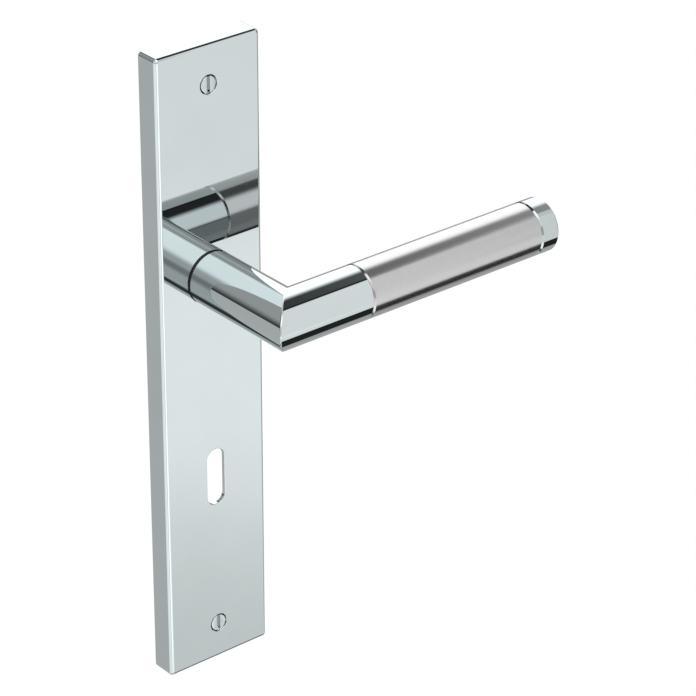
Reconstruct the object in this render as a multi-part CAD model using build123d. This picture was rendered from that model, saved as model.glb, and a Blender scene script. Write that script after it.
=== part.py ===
from build123d import *
from math import atan2, cos, degrees, radians, sin, sqrt
import os

# Lever door handle on a long plate, for one side of a door, in millimetres.
# The pieces are drawn lying on the door: X along the lever, Y up the door, Z out of it,
# with the origin where the lever's axis meets the door face. Each finished piece is then
# stood up, so that +Z is up the door and the door lies towards +Y.

# Cover plate
PLATE_W = 40.0
PLATE_H = 220.0
PLATE_TOP = 79.0  # top edge above the lever's axis
PLATE_WALL = 1.3
PLATE_CORNER_R = 1.25
PLATE_EDGE_R = 1.0
PLATE_INSIDE_R = 0.5
KEYHOLE_DROP = 72.0  # keyhole's middle below the lever's axis
KEYHOLE_W = 7.0
KEYHOLE_H = 20.5
KEYHOLE_EASE = 0.2

# Lever
LEVER_D = 18.3
LEVER_REACH = 45.1  # grip's axis from the door face
MITRE_BEVEL = 0.4
POLISHED_RUN = 28.3  # from the neck's axis to the first groove
SLEEVE_L = 70.35
CAP_L = 6.95
CAP_EDGE_C = 0.45
GROOVE_C = 0.5
CORE_D = 15.0
SLEEVE_FIT = 0.05
CORE_SHORT = 0.3  # the core stops this far inside the sleeve, so that the cap clamps the sleeve
STUD_D = 8.0
STUD_L = 12.0
STUD_FIT = 0.05
STUD_ROOM = 1.0

# Journal, spindle socket and grub screw
JOURNAL_D = 16.0
JOURNAL_FLATS = 13.2
JOURNAL_RECESS = 0.25  # journal's end behind the door face's plane
SPINDLE_SQ = 8.1
SOCKET_DEPTH = 30.0
GRUB_D = 6.0
GRUB_FIT = 0.05
GRUB_OUT = 9.0  # grub screw's axis in front of the plate
GRUB_SINK = 0.5
GRUB_KEY_AF = 3.0
GRUB_KEY_DEPTH = 2.4
GRUB_TIP_GAP = 0.25

# Bearing bush
BUSH_WALL = 0.95
BUSH_RUN = 0.05
BUSH_FIT = 0.03
BUSH_PROUD = 0.65  # bush in front of the plate, where it shows as a dark ring under the neck
BUSH_GAP = 0.1  # open ring between the bush and the plate
FLANGE_D = 22.0
FLANGE_T = 0.7
FLANGE_FIT = 0.1
FLANGE_SINK = 0.25
AXIAL_PLAY = 0.05

# Return spring, its driver and the retaining ring
WIRE = 1.1  # square wire
COIL_TURNS = 1.25
COIL_GAP = 0.06
COIL_HUB_GAP = 0.5
LEG_L = 6.5
LEG_CLEAR = 0.1
SPRING_GAP = 0.15
DRIVER_T = 1.0
DRIVER_RIM = 0.3  # disc's edge outside the coil
DRIVER_FIT = 0.05
ARM_L = 3.0
ARM_DEG = 24.0
TAB_T = 1.4
TAB_W = 3.0
RING_T = 1.0
RING_PLAY = 0.05
RING_LAND = 0.6
RING_WIDTH = 2.0
RING_SEAT = 0.4  # groove's depth
RING_FIT = 0.05
RING_OPEN_DEG = 32.0
EAR_R = 1.5
EAR_HOLE_R = 0.75

# Travel and its stops
LEVER_TRAVEL = 42.0  # degrees, downwards
STOP_DEG = 14.0
STOP_GAP_DEG = 1.0
STOP_CLEAR = 0.6

# Support plate
SUPPORT_FIT = 0.15
SUPPORT_RECESS = 0.3
SUPPORT_CORNER_R = 1.0
SUPPORT_EDGE_C = 0.6
WEB_T = 1.4
RIM_T = 1.8
RIB_T = 1.3
RIB_PITCH = 15.0
RIB_COLUMN = 8.0
HUB_WALL = 1.5
POCKET_CLEAR = 0.6
POCKET_WALL = 1.5
WINDOW_SIDE = 7.5
WINDOW_R = 2.0
WINDOW_WALL = 1.4
BOSS_R = 4.6

# Fixing screws
SCREW_INSET = 13.25  # screw's axis from the plate's end
SCREW_L = 25.0
SCREW_D = 3.5  # over the thread, which starts at the door face
SCREW_SHANK_D = 2.6
SCREW_HEAD_D = 5.6
SCREW_HEAD_LAND = 0.35
SCREW_SINK = 0.1
SCREW_SEAT_GAP = 0.45
SCREW_SHANK_GAP = 0.5
SCREW_TIP_L = 5.0
SCREW_TIP_R = 0.25
SLOT_W = 1.2
SLOT_DEPTH = 0.9

# Heights above the door face, from the back of the mechanism to the plate's front
RING_BACK = JOURNAL_RECESS + RING_LAND
DRIVER_BACK = RING_BACK + RING_T + 2 * RING_PLAY
DRIVER_FRONT = DRIVER_BACK + DRIVER_T
COIL_BACK = DRIVER_FRONT + SPRING_GAP
COIL_PITCH = WIRE + COIL_GAP
COIL_FRONT = COIL_BACK + COIL_TURNS * COIL_PITCH + WIRE
WEB_BACK = COIL_FRONT + SPRING_GAP
INNER_FACE = WEB_BACK + WEB_T
PLATE_T = INNER_FACE + PLATE_WALL
BUSH_FRONT = PLATE_T + BUSH_PROUD
SHOULDER = BUSH_FRONT + AXIAL_PLAY
FLANGE_FRONT = INNER_FACE - FLANGE_SINK
FLANGE_BACK = FLANGE_FRONT - FLANGE_T
GRUB_HEIGHT = PLATE_T + GRUB_OUT

# Places up the door
PLATE_MID = PLATE_TOP - PLATE_H / 2
SCREW_HEIGHTS = (PLATE_TOP - SCREW_INSET, PLATE_TOP - PLATE_H + SCREW_INSET)

# Radii about the lever's axis
LEVER_R = LEVER_D / 2
JOURNAL_R = JOURNAL_D / 2
BUSH_BORE_R = JOURNAL_R + BUSH_RUN
BUSH_R = BUSH_BORE_R + BUSH_WALL
HUB_BORE_R = BUSH_R + BUSH_FIT
HUB_R = HUB_BORE_R + HUB_WALL
COIL_R = HUB_R + COIL_HUB_GAP + WIRE / 2
DISC_R = COIL_R + WIRE / 2 + DRIVER_RIM
ARM_R = DISC_R + ARM_L
STOP_R = DISC_R + STOP_CLEAR
POCKET_R = ARM_R + POCKET_CLEAR
GROOVE_R = JOURNAL_R - RING_SEAT

# Places along the lever
SLEEVE_END = POLISHED_RUN + SLEEVE_L
CORE_R = CORE_D / 2

# Angles about the lever's axis, seen from the front and counted from the lever
ARM_MID = 90 + LEVER_TRAVEL / 2
LEG_SIDE = COIL_R + WIRE / 2 + LEG_CLEAR
TAB_SIDE = LEG_SIDE + TAB_T / 2
TAB_ALONG = LEG_L - TAB_W / 2
COIL_END = ARM_MID + degrees(atan2(TAB_ALONG, TAB_SIDE))
COIL_START = COIL_END + 360 * COIL_TURNS

FROM_BACK = (Align.CENTER, Align.CENTER, Align.MIN)


def sector(inner, outer, start, end):
    """A piece of a flat ring, between two angles."""
    far = 2 * outer
    rays = [(far * cos(radians(a)), far * sin(radians(a))) for a in (start, (start + end) / 2, end)]
    wedge = make_face(Polyline((0, 0), *rays, close=True))
    return (Circle(outer) - Circle(inner)) & wedge


def bar(radius, start, end, height):
    """A round bar along the lever, from one distance to another."""
    return Pos(start, 0, height) * Rot(0, 90, 0) * Cylinder(radius, end - start, align=FROM_BACK)


def post(radius, start, end):
    """A round bar out of the door, from one height to another."""
    return Pos(0, 0, start) * Cylinder(radius, end - start, align=FROM_BACK)


def screw_sizes(stem_d, gap):
    """Radii of a countersunk head and the stem under it, grown by a gap, and the head's heights."""
    head = SCREW_HEAD_D / 2 + gap
    stem = stem_d / 2 + gap
    top = PLATE_T - SCREW_SINK
    land = top - SCREW_HEAD_LAND
    return head, stem, top, land, land - (head - stem)


def cover_plate():
    front = Pos(0, PLATE_MID) * RectangleRounded(PLATE_W, PLATE_H, PLATE_CORNER_R)
    shell = extrude(front, PLATE_T)
    shell = fillet(shell.faces().sort_by(Axis.Z)[-1].edges(), PLATE_EDGE_R)
    inside = RectangleRounded(PLATE_W - 2 * PLATE_WALL, PLATE_H - 2 * PLATE_WALL, PLATE_INSIDE_R)
    shell -= extrude(Pos(0, PLATE_MID) * inside, INNER_FACE)
    shell -= post(BUSH_R + BUSH_GAP, 0, 2 * PLATE_T)
    keyhole = Pos(0, -KEYHOLE_DROP) * Rot(0, 0, 90) * SlotOverall(KEYHOLE_H, KEYHOLE_W)
    shell -= extrude(keyhole, 2 * PLATE_T)
    rim = shell.faces().sort_by(Axis.Z)[-1].inner_wires().sort_by(Axis.Y)[0]
    shell = chamfer(rim.edges(), KEYHOLE_EASE)
    for height in SCREW_HEIGHTS:
        shell -= Pos(0, height) * screw_seat()
    return shell


def screw_seat():
    """The countersunk hole that a fixing screw's head lies in and its thread goes through."""
    head, hole, _, land, neck = screw_sizes(SCREW_D, SCREW_SEAT_GAP)
    section = Polyline((0, 0), (hole, 0), (hole, neck), (head, land), (head, 2 * PLATE_T),
                       (0, 2 * PLATE_T), close=True)
    return revolve(Plane.XZ * make_face(section), Axis.Z)


def fixing_screws():
    head, shank, top, land, neck = screw_sizes(SCREW_SHANK_D, 0)
    thread = SCREW_D / 2
    tip = top - SCREW_L
    section = Polyline((0, tip), (SCREW_TIP_R, tip), (thread, tip + SCREW_TIP_L), (thread, 0),
                       (shank, thread - shank), (shank, neck), (head, land), (head, top), (0, top),
                       close=True)
    screw = revolve(Plane.XZ * make_face(section), Axis.Z)
    screw -= Pos(0, 0, top - SLOT_DEPTH) * Box(SLOT_W, SCREW_HEAD_D, 2 * SLOT_DEPTH, align=FROM_BACK)
    return Compound([Pos(0, height) * screw for height in SCREW_HEIGHTS])


def support_walls():
    """Everything on the support plate that stands from its web towards the door."""
    width = PLATE_W - 2 * (PLATE_WALL + SUPPORT_FIT)
    height = PLATE_H - 2 * (PLATE_WALL + SUPPORT_FIT)
    place = Pos(0, PLATE_MID)
    outline = place * RectangleRounded(width, height, SUPPORT_CORNER_R)
    walls = outline - place * Rectangle(width - 2 * RIM_T, height - 2 * RIM_T)
    rows = int(height / RIB_PITCH)
    for row in range(rows):
        walls += Pos(0, PLATE_MID + (row - (rows - 1) / 2) * RIB_PITCH) * Rectangle(width, RIB_T)
    for side in (-RIB_COLUMN, RIB_COLUMN):
        walls += Pos(side, PLATE_MID) * Rectangle(RIB_T, height)
    for end in SCREW_HEIGHTS:
        walls += Pos(0, end) * Circle(BOSS_R)
    window = keyhole_window(0)
    walls = walls + keyhole_window(WINDOW_WALL) - window
    walls = walls + (Circle(POCKET_R + POCKET_WALL) & outline) - Circle(POCKET_R)
    half_arm = ARM_DEG / 2 + STOP_GAP_DEG
    rest = ARM_MID + half_arm
    pressed = ARM_MID - LEVER_TRAVEL - half_arm
    outer = POCKET_R + POCKET_WALL / 2
    walls += sector(STOP_R, outer, rest, rest + STOP_DEG)
    walls += sector(STOP_R, outer, pressed - STOP_DEG, pressed)
    walls += spring_anchor()
    return outline, walls, window


def keyhole_window(grow):
    """The support plate's opening behind the keyhole, grown outwards by a wall."""
    width = KEYHOLE_W + 2 * (WINDOW_SIDE + grow)
    height = KEYHOLE_H + 2 * (WINDOW_SIDE + grow)
    return Pos(0, -KEYHOLE_DROP) * RectangleRounded(width, height, WINDOW_R + grow)


def spring_anchor():
    """The lug outside the spring's fixed leg, grown from the pocket's wall."""
    depth = POCKET_R - LEG_SIDE
    lug = Pos(LEG_SIDE + depth / 2, TAB_ALONG) * Rectangle(depth, TAB_W)
    return Rot(0, 0, COIL_START) * lug & Circle(POCKET_R + POCKET_WALL / 2)


def support_plate():
    outline, walls, window = support_walls()
    web = extrude(Pos(0, 0, WEB_BACK) * (outline - window), WEB_T)
    front_edges = web.faces().sort_by(Axis.Z)[-1].outer_wire().edges()
    web = chamfer(front_edges, SUPPORT_EDGE_C)
    plate = web + extrude(Pos(0, 0, SUPPORT_RECESS) * walls, WEB_BACK - SUPPORT_RECESS)
    plate += post(HUB_R, COIL_BACK, WEB_BACK)
    plate -= post(HUB_BORE_R, 0, PLATE_T)
    plate -= post(FLANGE_D / 2 + FLANGE_FIT, FLANGE_BACK, PLATE_T)
    for height in SCREW_HEIGHTS:
        plate -= Pos(0, height) * post(SCREW_D / 2 + SCREW_SHANK_GAP, 0, PLATE_T)
    return plate


def bearing_bush():
    bush = post(BUSH_R, COIL_BACK, BUSH_FRONT) + post(FLANGE_D / 2, FLANGE_BACK, FLANGE_FRONT)
    return bush - post(BUSH_BORE_R, 0, 2 * PLATE_T)


def return_spring():
    height = COIL_TURNS * COIL_PITCH
    coil = Helix(COIL_PITCH, height, COIL_R)
    coil = Pos(0, 0, COIL_BACK + WIRE / 2) * Rot(0, 0, COIL_END) * coil
    sections = []
    for end in (0, 1):
        outwards = Vector((coil @ end).X, (coil @ end).Y)
        sections.append(Plane(coil @ end, x_dir=outwards, z_dir=coil % end) * Rectangle(WIRE, WIRE))
    spring = sweep(sections[0], coil, is_frenet=True)
    return spring + extrude(sections[0], -LEG_L) + extrude(sections[1], LEG_L)


def journal_section(grow):
    """The journal's end: a disc with two flats, grown outwards by a clearance."""
    return Circle(JOURNAL_R + grow) & Rectangle(JOURNAL_FLATS + 2 * grow, JOURNAL_D + 2 * grow)


def spring_driver():
    arm = sector(JOURNAL_R, ARM_R, ARM_MID - ARM_DEG / 2, ARM_MID + ARM_DEG / 2)
    blank = Circle(DISC_R) + arm - journal_section(DRIVER_FIT)
    driver = extrude(Pos(0, 0, DRIVER_BACK) * blank, DRIVER_T)
    foot = Rot(0, 0, COIL_END) * Pos(TAB_SIDE, -TAB_ALONG, DRIVER_BACK) * Rectangle(TAB_T, TAB_W)
    return driver + extrude(foot, DRIVER_T + SPRING_GAP + COIL_PITCH)


def retaining_ring():
    inner = GROOVE_R + RING_FIT
    outer = inner + RING_WIDTH
    half = RING_OPEN_DEG / 2
    blank = sector(inner, outer, -90 + half, 90) + sector(inner, outer, 90, 270 - half)
    for side in (-90 + half, 270 - half):
        spot = Rot(0, 0, side) * Pos(outer, 0)
        blank = blank + spot * Circle(EAR_R) - spot * Circle(EAR_HOLE_R)
    blank -= Circle(inner)
    return extrude(Pos(0, 0, RING_BACK + RING_PLAY) * blank, RING_T)


def mitred_bar():
    """Neck and polished run as one round bar with a square mitre and a bevel along its edge."""
    neck_end = LEVER_REACH - MITRE_BEVEL / sqrt(2)
    mitre = Plane((0, 0, neck_end), x_dir=(0, 1, 0), z_dir=(1, 0, 1))
    neck = post(LEVER_R, SHOULDER, LEVER_REACH + LEVER_R)
    neck = split(neck, bisect_by=mitre, keep=Keep.BOTTOM)
    bevel = extrude(mitre * Ellipse(LEVER_R, LEVER_R * sqrt(2)), MITRE_BEVEL)
    run = bar(LEVER_R, -LEVER_R, POLISHED_RUN, LEVER_REACH)
    run = chamfer(run.edges().sort_by(Axis.X)[-1], GROOVE_C)
    run = split(run, bisect_by=mitre.offset(MITRE_BEVEL), keep=Keep.TOP)
    return neck + bevel + run


def lever_elbow():
    lever = mitred_bar()
    lever += bar(CORE_R, POLISHED_RUN, SLEEVE_END - CORE_SHORT, LEVER_REACH)
    stud_room = SLEEVE_END - STUD_L - STUD_ROOM
    lever -= bar(STUD_D / 2 + STUD_FIT, stud_room, SLEEVE_END, LEVER_REACH)
    lever += post(JOURNAL_R, DRIVER_FRONT, SHOULDER)
    flats = Pos(0, 0, JOURNAL_RECESS) * journal_section(0)
    lever += extrude(flats, DRIVER_FRONT - JOURNAL_RECESS)
    lever -= post(JOURNAL_D, RING_BACK, DRIVER_BACK) - post(GROOVE_R, RING_BACK, DRIVER_BACK)
    lever -= Box(SPINDLE_SQ, SPINDLE_SQ, SOCKET_DEPTH, align=FROM_BACK)
    grub_hole = Plane.XZ * Pos(0, GRUB_HEIGHT) * Circle(GRUB_D / 2 + GRUB_FIT)
    return lever - extrude(grub_hole, LEVER_D)


def spindle_grub_screw():
    tip = SPINDLE_SQ / 2 + GRUB_TIP_GAP
    top = LEVER_R - GRUB_SINK
    seat = Plane.XZ.offset(tip) * Pos(0, GRUB_HEIGHT)
    grub = extrude(seat * Circle(GRUB_D / 2), top - tip)
    key = Plane.XZ.offset(top - GRUB_KEY_DEPTH) * Pos(0, GRUB_HEIGHT)
    hexagon = RegularPolygon(GRUB_KEY_AF / 2, 6, major_radius=False)
    return grub - extrude(key * hexagon, GRUB_KEY_DEPTH)


def grip_sleeve():
    sleeve = bar(LEVER_R, POLISHED_RUN, SLEEVE_END, LEVER_REACH)
    sleeve = chamfer(sleeve.edges().filter_by(GeomType.CIRCLE), GROOVE_C)
    return sleeve - bar(CORE_R + SLEEVE_FIT, 0, 2 * SLEEVE_END, LEVER_REACH)


def end_cap():
    cap = bar(LEVER_R, SLEEVE_END, SLEEVE_END + CAP_L, LEVER_REACH)
    cap = chamfer(cap.edges().filter_by(GeomType.CIRCLE).sort_by(Axis.X)[0], GROOVE_C)
    cap = chamfer(cap.edges().filter_by(GeomType.CIRCLE).sort_by(Axis.X)[-1], CAP_EDGE_C)
    return cap + bar(STUD_D / 2, SLEEVE_END - STUD_L, SLEEVE_END, LEVER_REACH)


PIECES = (
    cover_plate,
    support_plate,
    bearing_bush,
    return_spring,
    fixing_screws,
    lever_elbow,
    grip_sleeve,
    end_cap,
    spindle_grub_screw,
    spring_driver,
    retaining_ring,
)

STAND_UP = Rot(90, 0, 0)

os.makedirs("parts", exist_ok=True)
for piece in PIECES:
    export_step(STAND_UP * piece(), f"parts/{piece.__name__}.step")
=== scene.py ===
from math import cos, pi, radians, sin
from typing import NamedTuple

import bmesh
import bpy
from mathutils import Matrix, Quaternion, Vector


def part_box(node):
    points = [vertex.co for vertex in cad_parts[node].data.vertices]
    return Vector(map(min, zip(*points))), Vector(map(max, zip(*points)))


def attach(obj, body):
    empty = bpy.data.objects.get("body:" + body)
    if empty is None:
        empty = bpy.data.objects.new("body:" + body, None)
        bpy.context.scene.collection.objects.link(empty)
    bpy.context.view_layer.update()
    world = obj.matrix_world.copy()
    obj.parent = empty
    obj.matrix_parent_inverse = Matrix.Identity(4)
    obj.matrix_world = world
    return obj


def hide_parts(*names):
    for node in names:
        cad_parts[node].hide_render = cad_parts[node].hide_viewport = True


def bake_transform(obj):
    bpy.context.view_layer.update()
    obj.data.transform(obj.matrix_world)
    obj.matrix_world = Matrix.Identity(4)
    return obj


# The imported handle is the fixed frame: metres, +X along the lever, +Y into the door, +Z up.
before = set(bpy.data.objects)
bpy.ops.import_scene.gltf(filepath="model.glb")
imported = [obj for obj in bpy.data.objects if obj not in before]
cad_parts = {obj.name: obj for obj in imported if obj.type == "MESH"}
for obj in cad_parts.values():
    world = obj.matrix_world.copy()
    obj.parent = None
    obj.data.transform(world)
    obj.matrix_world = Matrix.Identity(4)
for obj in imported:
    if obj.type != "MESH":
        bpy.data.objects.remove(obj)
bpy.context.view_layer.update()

bl_info = {
    "name": "Lever Door Handle",
    "version": (1, 0, 0),
    "blender": (4, 5, 0),
    "location": "View3D > Sidebar > Door Handle",
    "description": "Dresses a packed lever door handle on a long plate with fine meshes and finishes",
    "category": "Add Mesh",
}

MM = 0.001

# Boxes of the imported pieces, from which the sizes that must agree with them are taken
PLATE_LOW, PLATE_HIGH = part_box("cover_plate")
SUPPORT_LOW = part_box("support_plate")[0]
LEVER_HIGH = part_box("lever_elbow")[1]
SLEEVE_LOW, SLEEVE_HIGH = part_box("grip_sleeve")
CAP_LOW, CAP_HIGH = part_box("end_cap")
SCREWS_LOW, SCREWS_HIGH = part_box("fixing_screws")
DRIVER_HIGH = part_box("spring_driver")[1]
BUSH_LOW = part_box("bearing_bush")[0]
RING_LOW, RING_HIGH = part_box("retaining_ring")
GRUB_LOW, GRUB_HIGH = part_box("spindle_grub_screw")

# Meshes: shading, and how near points have to be to be one
CREASE = radians(32)
LARGE_FACE_WEIGHT = 90
SAME_POINT = 1e-8
SAME_POINT_AFTER_CUT = 1e-7

# The screws' thread: sides of its ridge, the ridge's radius as a share of its height, steps in a turn
RIDGE_SIDES = 3
RIDGE_SHARE = 0.8
THREAD_STEPS = 40

# Values between which the finishes' grain mostly lies
GRAIN_LOW, GRAIN_HIGH = 0.3, 0.7

WHITE = (1.0, 1.0, 1.0, 1.0)


def setting(kind, **limits):
    """A kind of property, made from its name, its description and its default."""
    return lambda name, description, default: kind(
        name=name, description=description, default=default, **limits
    )


length = setting(bpy.props.FloatProperty, min=0.0, precision=5, unit="LENGTH")
share = setting(bpy.props.FloatProperty, min=0.0, max=1.0, subtype="FACTOR")
turn = setting(bpy.props.FloatProperty, subtype="ANGLE", unit="ROTATION")
coil_turns = setting(bpy.props.FloatProperty, min=0.25)
focal_length = setting(bpy.props.FloatProperty, min=1.0, unit="CAMERA")
position = setting(bpy.props.FloatVectorProperty, size=3, unit="LENGTH")
colour = setting(bpy.props.FloatVectorProperty, size=3, min=0.0, max=1.0, subtype="COLOR")
count = setting(bpy.props.IntProperty, min=1)


def group(name, description, kind):
    """A property that holds a group of settings."""
    return bpy.props.PointerProperty(name=name, description=description, type=kind)


class PlateSizes(bpy.types.PropertyGroup):
    """Sizes of the cover plate."""

    width: length("Width", "Across the plate", PLATE_HIGH.x - PLATE_LOW.x)
    height: length("Height", "Up the plate", PLATE_HIGH.z - PLATE_LOW.z)
    depth: length("Depth", "From the door face to the plate's front", -PLATE_LOW.y)
    wall: length("Wall", "Thickness of the plate's sides", 1.3 * MM)
    inner_face: length("Inner face", "Height of the hollow above the door face", -SUPPORT_LOW.y)
    corner_radius: length("Corner radius", "Outline's corners", 1.4 * MM)
    front_radius: length("Front radius", "Rounding from the front to its bevel", 1.2 * MM)
    edge_flat: length("Edge flat", "Width of the flat in the front's bevel", 0.4 * MM)
    edge_slope: turn("Edge slope", "Bevel's lean from the front towards the sides", radians(55))
    side_radius: length("Side radius", "Rounding from the bevel to the sides", 0.4 * MM)
    inside_radius: length("Inside radius", "Hollow's corners", 0.5 * MM)
    bush_radius: length("Bush radius", "Bearing bush that passes through the plate", 9.0 * MM)
    bush_gap: length("Bush gap", "Open ring round the bearing bush", 0.1 * MM)
    keyhole_drop: length("Keyhole drop", "Keyhole's middle below the lever's axis", 72.0 * MM)
    keyhole_width: length("Keyhole width", "Across the keyhole", 7.0 * MM)
    keyhole_height: length("Keyhole height", "Up the keyhole", 20.5 * MM)
    neck_ease: length("Neck easing", "Rounding of the neck hole's rim", 0.05 * MM)
    key_ease: length("Key easing", "Rounding of the keyhole's rim", 0.2 * MM)
    seat_ease: length("Seat easing", "Rounding of the screw seats' rims", 0.08 * MM)


class LeverSizes(bpy.types.PropertyGroup):
    """Sizes of the lever, its sleeve and its cap."""

    radius: length("Radius", "Half the bar's thickness", SLEEVE_HIGH.y / 2 - SLEEVE_LOW.y / 2)
    reach: length("Reach", "Grip's axis from the door face", -(SLEEVE_LOW.y + SLEEVE_HIGH.y) / 2)
    shoulder: length("Shoulder", "Neck's start above the door face", 0.05 * MM - BUSH_LOW.y)
    mitre_radius: length("Mitre radius", "Rounding along the mitre's edge", 0.42 * MM)
    groove: length("Groove", "Bevel at each joint along the lever", 0.5 * MM)
    cap_edge: length("Cap edge", "Rounding at the cap's end", 0.45 * MM)
    core_radius: length("Core radius", "Lever's core under the sleeve", 7.5 * MM)
    sleeve_fit: length("Sleeve fit", "Gap between the core and the sleeve", 0.05 * MM)
    stud_radius: length("Stud radius", "Cap's stud in the core", 4.0 * MM)
    stud_fit: length("Stud fit", "Gap round and behind the stud", 0.05 * MM)
    stud_room: length("Stud room", "Hole left behind the stud", 1.0 * MM)
    journal_radius: length("Journal radius", "Neck's end in the bush", 8.0 * MM)
    flats: length("Flats", "Across the journal's two flats", 13.2 * MM)
    driver_thickness: length("Driver thickness", "Spring driver on the flats", 1.0 * MM)
    ring_groove_radius: length("Ring groove radius", "Under the retaining ring", 7.6 * MM)
    ring_play: length("Ring play", "Gap each side of the retaining ring", 0.05 * MM)
    socket: length("Socket", "Across the square spindle socket", 8.1 * MM)
    socket_depth: length("Socket depth", "Socket's end above the door face", 30.0 * MM)
    grub_fit: length("Grub fit", "Gap round the grub screw", 0.05 * MM)


class ScrewSizes(bpy.types.PropertyGroup):
    """Sizes of the two fixing screws."""

    inset: length("Inset", "Screw's axis from the plate's end", 13.25 * MM)
    head_radius: length("Head radius", "Half the head's width", SCREWS_HIGH.x)
    head_land: length("Head land", "Height of the head's straight rim", 0.35 * MM)
    head_ease: length("Head easing", "Rounding of the head's rim", 0.08 * MM)
    seat_gap: length("Seat gap", "Gap between the head and its seat", 0.45 * MM)
    shank_radius: length("Shank radius", "Plain stem under the head", 1.3 * MM)
    core_radius: length("Core radius", "Bottom of the thread", 1.18 * MM)
    crest_radius: length("Crest radius", "Top of the thread", 1.75 * MM)
    pitch: length("Pitch", "From one thread to the next", 1.6 * MM)
    tip_length: length("Tip length", "Tapered end", 5.0 * MM)
    tip_radius: length("Tip radius", "Blunt point", 0.25 * MM)
    slot_width: length("Slot width", "Across the driver's slot", 1.2 * MM)
    slot_depth: length("Slot depth", "Depth of the driver's slot", 0.9 * MM)


class SpringSizes(bpy.types.PropertyGroup):
    """Sizes of the return spring."""

    wire: length("Wire", "Side of the square wire", 1.1 * MM)
    wire_ease: length("Wire easing", "Bevel along the wire's edges", 0.16 * MM)
    coil_radius: length("Coil radius", "Lever's axis to the wire's middle", 11.58 * MM)
    coil_back: length("Coil back", "First turn above the door face", 3.10 * MM)
    pitch: length("Pitch", "From one turn to the next", 1.16 * MM)
    turns: coil_turns("Turns", "Turns of the coil", 1.25)
    steps: count("Steps", "Stretches along the coil", 120)
    start: turn("Start", "Moving leg's end of the coil, from the lever", radians(132.14))
    leg: length("Leg", "Length of each straight leg", 6.5 * MM)


class Finishes(bpy.types.PropertyGroup):
    """Colours and gloss of the handle's materials."""

    chrome: colour("Chrome", "Polished plate, lever and cap", (0.462, 0.503, 0.507))
    chrome_roughness: share("Chrome roughness", "Mirror polish", 0.012)
    satin: colour("Satin steel", "Grip sleeve", (0.478, 0.473, 0.474))
    satin_roughness: share("Satin roughness", "Fine turned satin", 0.19)
    screw: colour("Screw chrome", "Fixing screws", (0.46, 0.49, 0.495))
    nylon: colour("Black nylon", "Support plate and bush", (0.014, 0.014, 0.015))
    spring: colour("Spring steel", "Spring, ring and grub screw", (0.20, 0.20, 0.21))
    zinc: colour("Zinc plate", "Spring driver", (0.56, 0.57, 0.565))


class StageSizes(bpy.types.PropertyGroup):
    """The camera and the floor."""

    azimuth: turn("Azimuth", "Camera to the left of the plate's front", radians(-39.705))
    elevation: turn("Elevation", "Camera above the horizon", radians(27.893))
    roll: turn("Roll", "Camera turned about its view", radians(0.109))
    lens: focal_length("Lens", "Focal length on a 36 mm sensor", 174.866)
    place: position("Place", "Camera's position", (-0.572041, -0.764093, 0.476258))
    floor_drop: length("Floor drop", "Floor below the lever's axis, as under a real door handle", 1.05)
    floor_size: length("Floor size", "Side of the floor", 8.0)
    floor_colour: colour("Floor colour", "Pale floor", (0.86, 0.86, 0.85))
    floor_roughness: share("Floor roughness", "Dull floor", 0.7)


class HandleSettings(bpy.types.PropertyGroup):
    """Everything that a user would change."""

    plate: group("Plate", "Cover plate's sizes", PlateSizes)
    lever: group("Lever", "Lever's sizes", LeverSizes)
    screws: group("Screws", "Fixing screws' sizes", ScrewSizes)
    spring: group("Spring", "Return spring's sizes", SpringSizes)
    finishes: group("Finishes", "Colours and gloss", Finishes)
    stage: group("Stage", "Camera and floor", StageSizes)
    round_steps: count("Round steps", "Sides of a large round", 256)
    small_round_steps: count("Small round steps", "Sides of a small round", 96)
    edge_steps: count("Edge steps", "Sides of a rounded edge", 8)


# Meshes


def loop_of(bm, points):
    """A closed loop of new vertices."""
    return [bm.verts.new(point) for point in points]


def bridge(bm, first, second):
    """Faces between two loops of as many vertices."""
    following = list(range(1, len(first))) + [0]
    for here, there in enumerate(following):
        bm.faces.new((first[here], first[there], second[there], second[here]))


def bridge_all(bm, loops):
    """Faces from each loop to the next."""
    for first, second in zip(loops, loops[1:]):
        bridge(bm, first, second)


def fill_flat(bm, *loops):
    """A flat face between loops: one outside, the others its holes."""
    edges = []
    for loop in loops:
        for here, there in zip(loop, loop[1:] + loop[:1]):
            edges.append(bm.edges.get((here, there)) or bm.edges.new((here, there)))
    bmesh.ops.triangle_fill(bm, edges=edges, use_beauty=True)


def close_ends(bm, loops):
    """Flat faces in the first loop and the last."""
    fill_flat(bm, loops[0])
    fill_flat(bm, loops[-1])


def quarter(radius, steps):
    """Steps of a quarter round: how far in, and how far along, from 0 to the radius."""
    angles = [pi / 2 * step / steps for step in range(steps + 1)]
    return [(radius * (1 - cos(angle)), radius * sin(angle)) for angle in angles]


def soft_bevel(plate, steps):
    """Steps of the front's bevel, from the plate's side: how far in, and how far forward."""
    lean = pi / 2 - plate.edge_slope
    points = [(0.0, 0.0)]
    for start, angle, radius, flat in ((0.0, lean, plate.side_radius, plate.edge_flat),
                                       (lean, plate.edge_slope, plate.front_radius, 0.0)):
        inset, rise = points[-1]
        for step in range(1, steps + 1):
            here = start + angle * step / steps
            inwards = radius * (cos(start) - cos(here))
            forward = radius * (sin(here) - sin(start))
            points.append((inset + inwards, rise + forward))
        if flat:
            points.append((points[-1][0] + flat * sin(lean), points[-1][1] + flat * cos(lean)))
    return points


def circle(radius, steps, centre=(0.0, 0.0)):
    """Points of a circle across the plate."""
    angles = [2 * pi * step / steps for step in range(steps)]
    return [(centre[0] + radius * cos(angle), centre[1] + radius * sin(angle)) for angle in angles]


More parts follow.
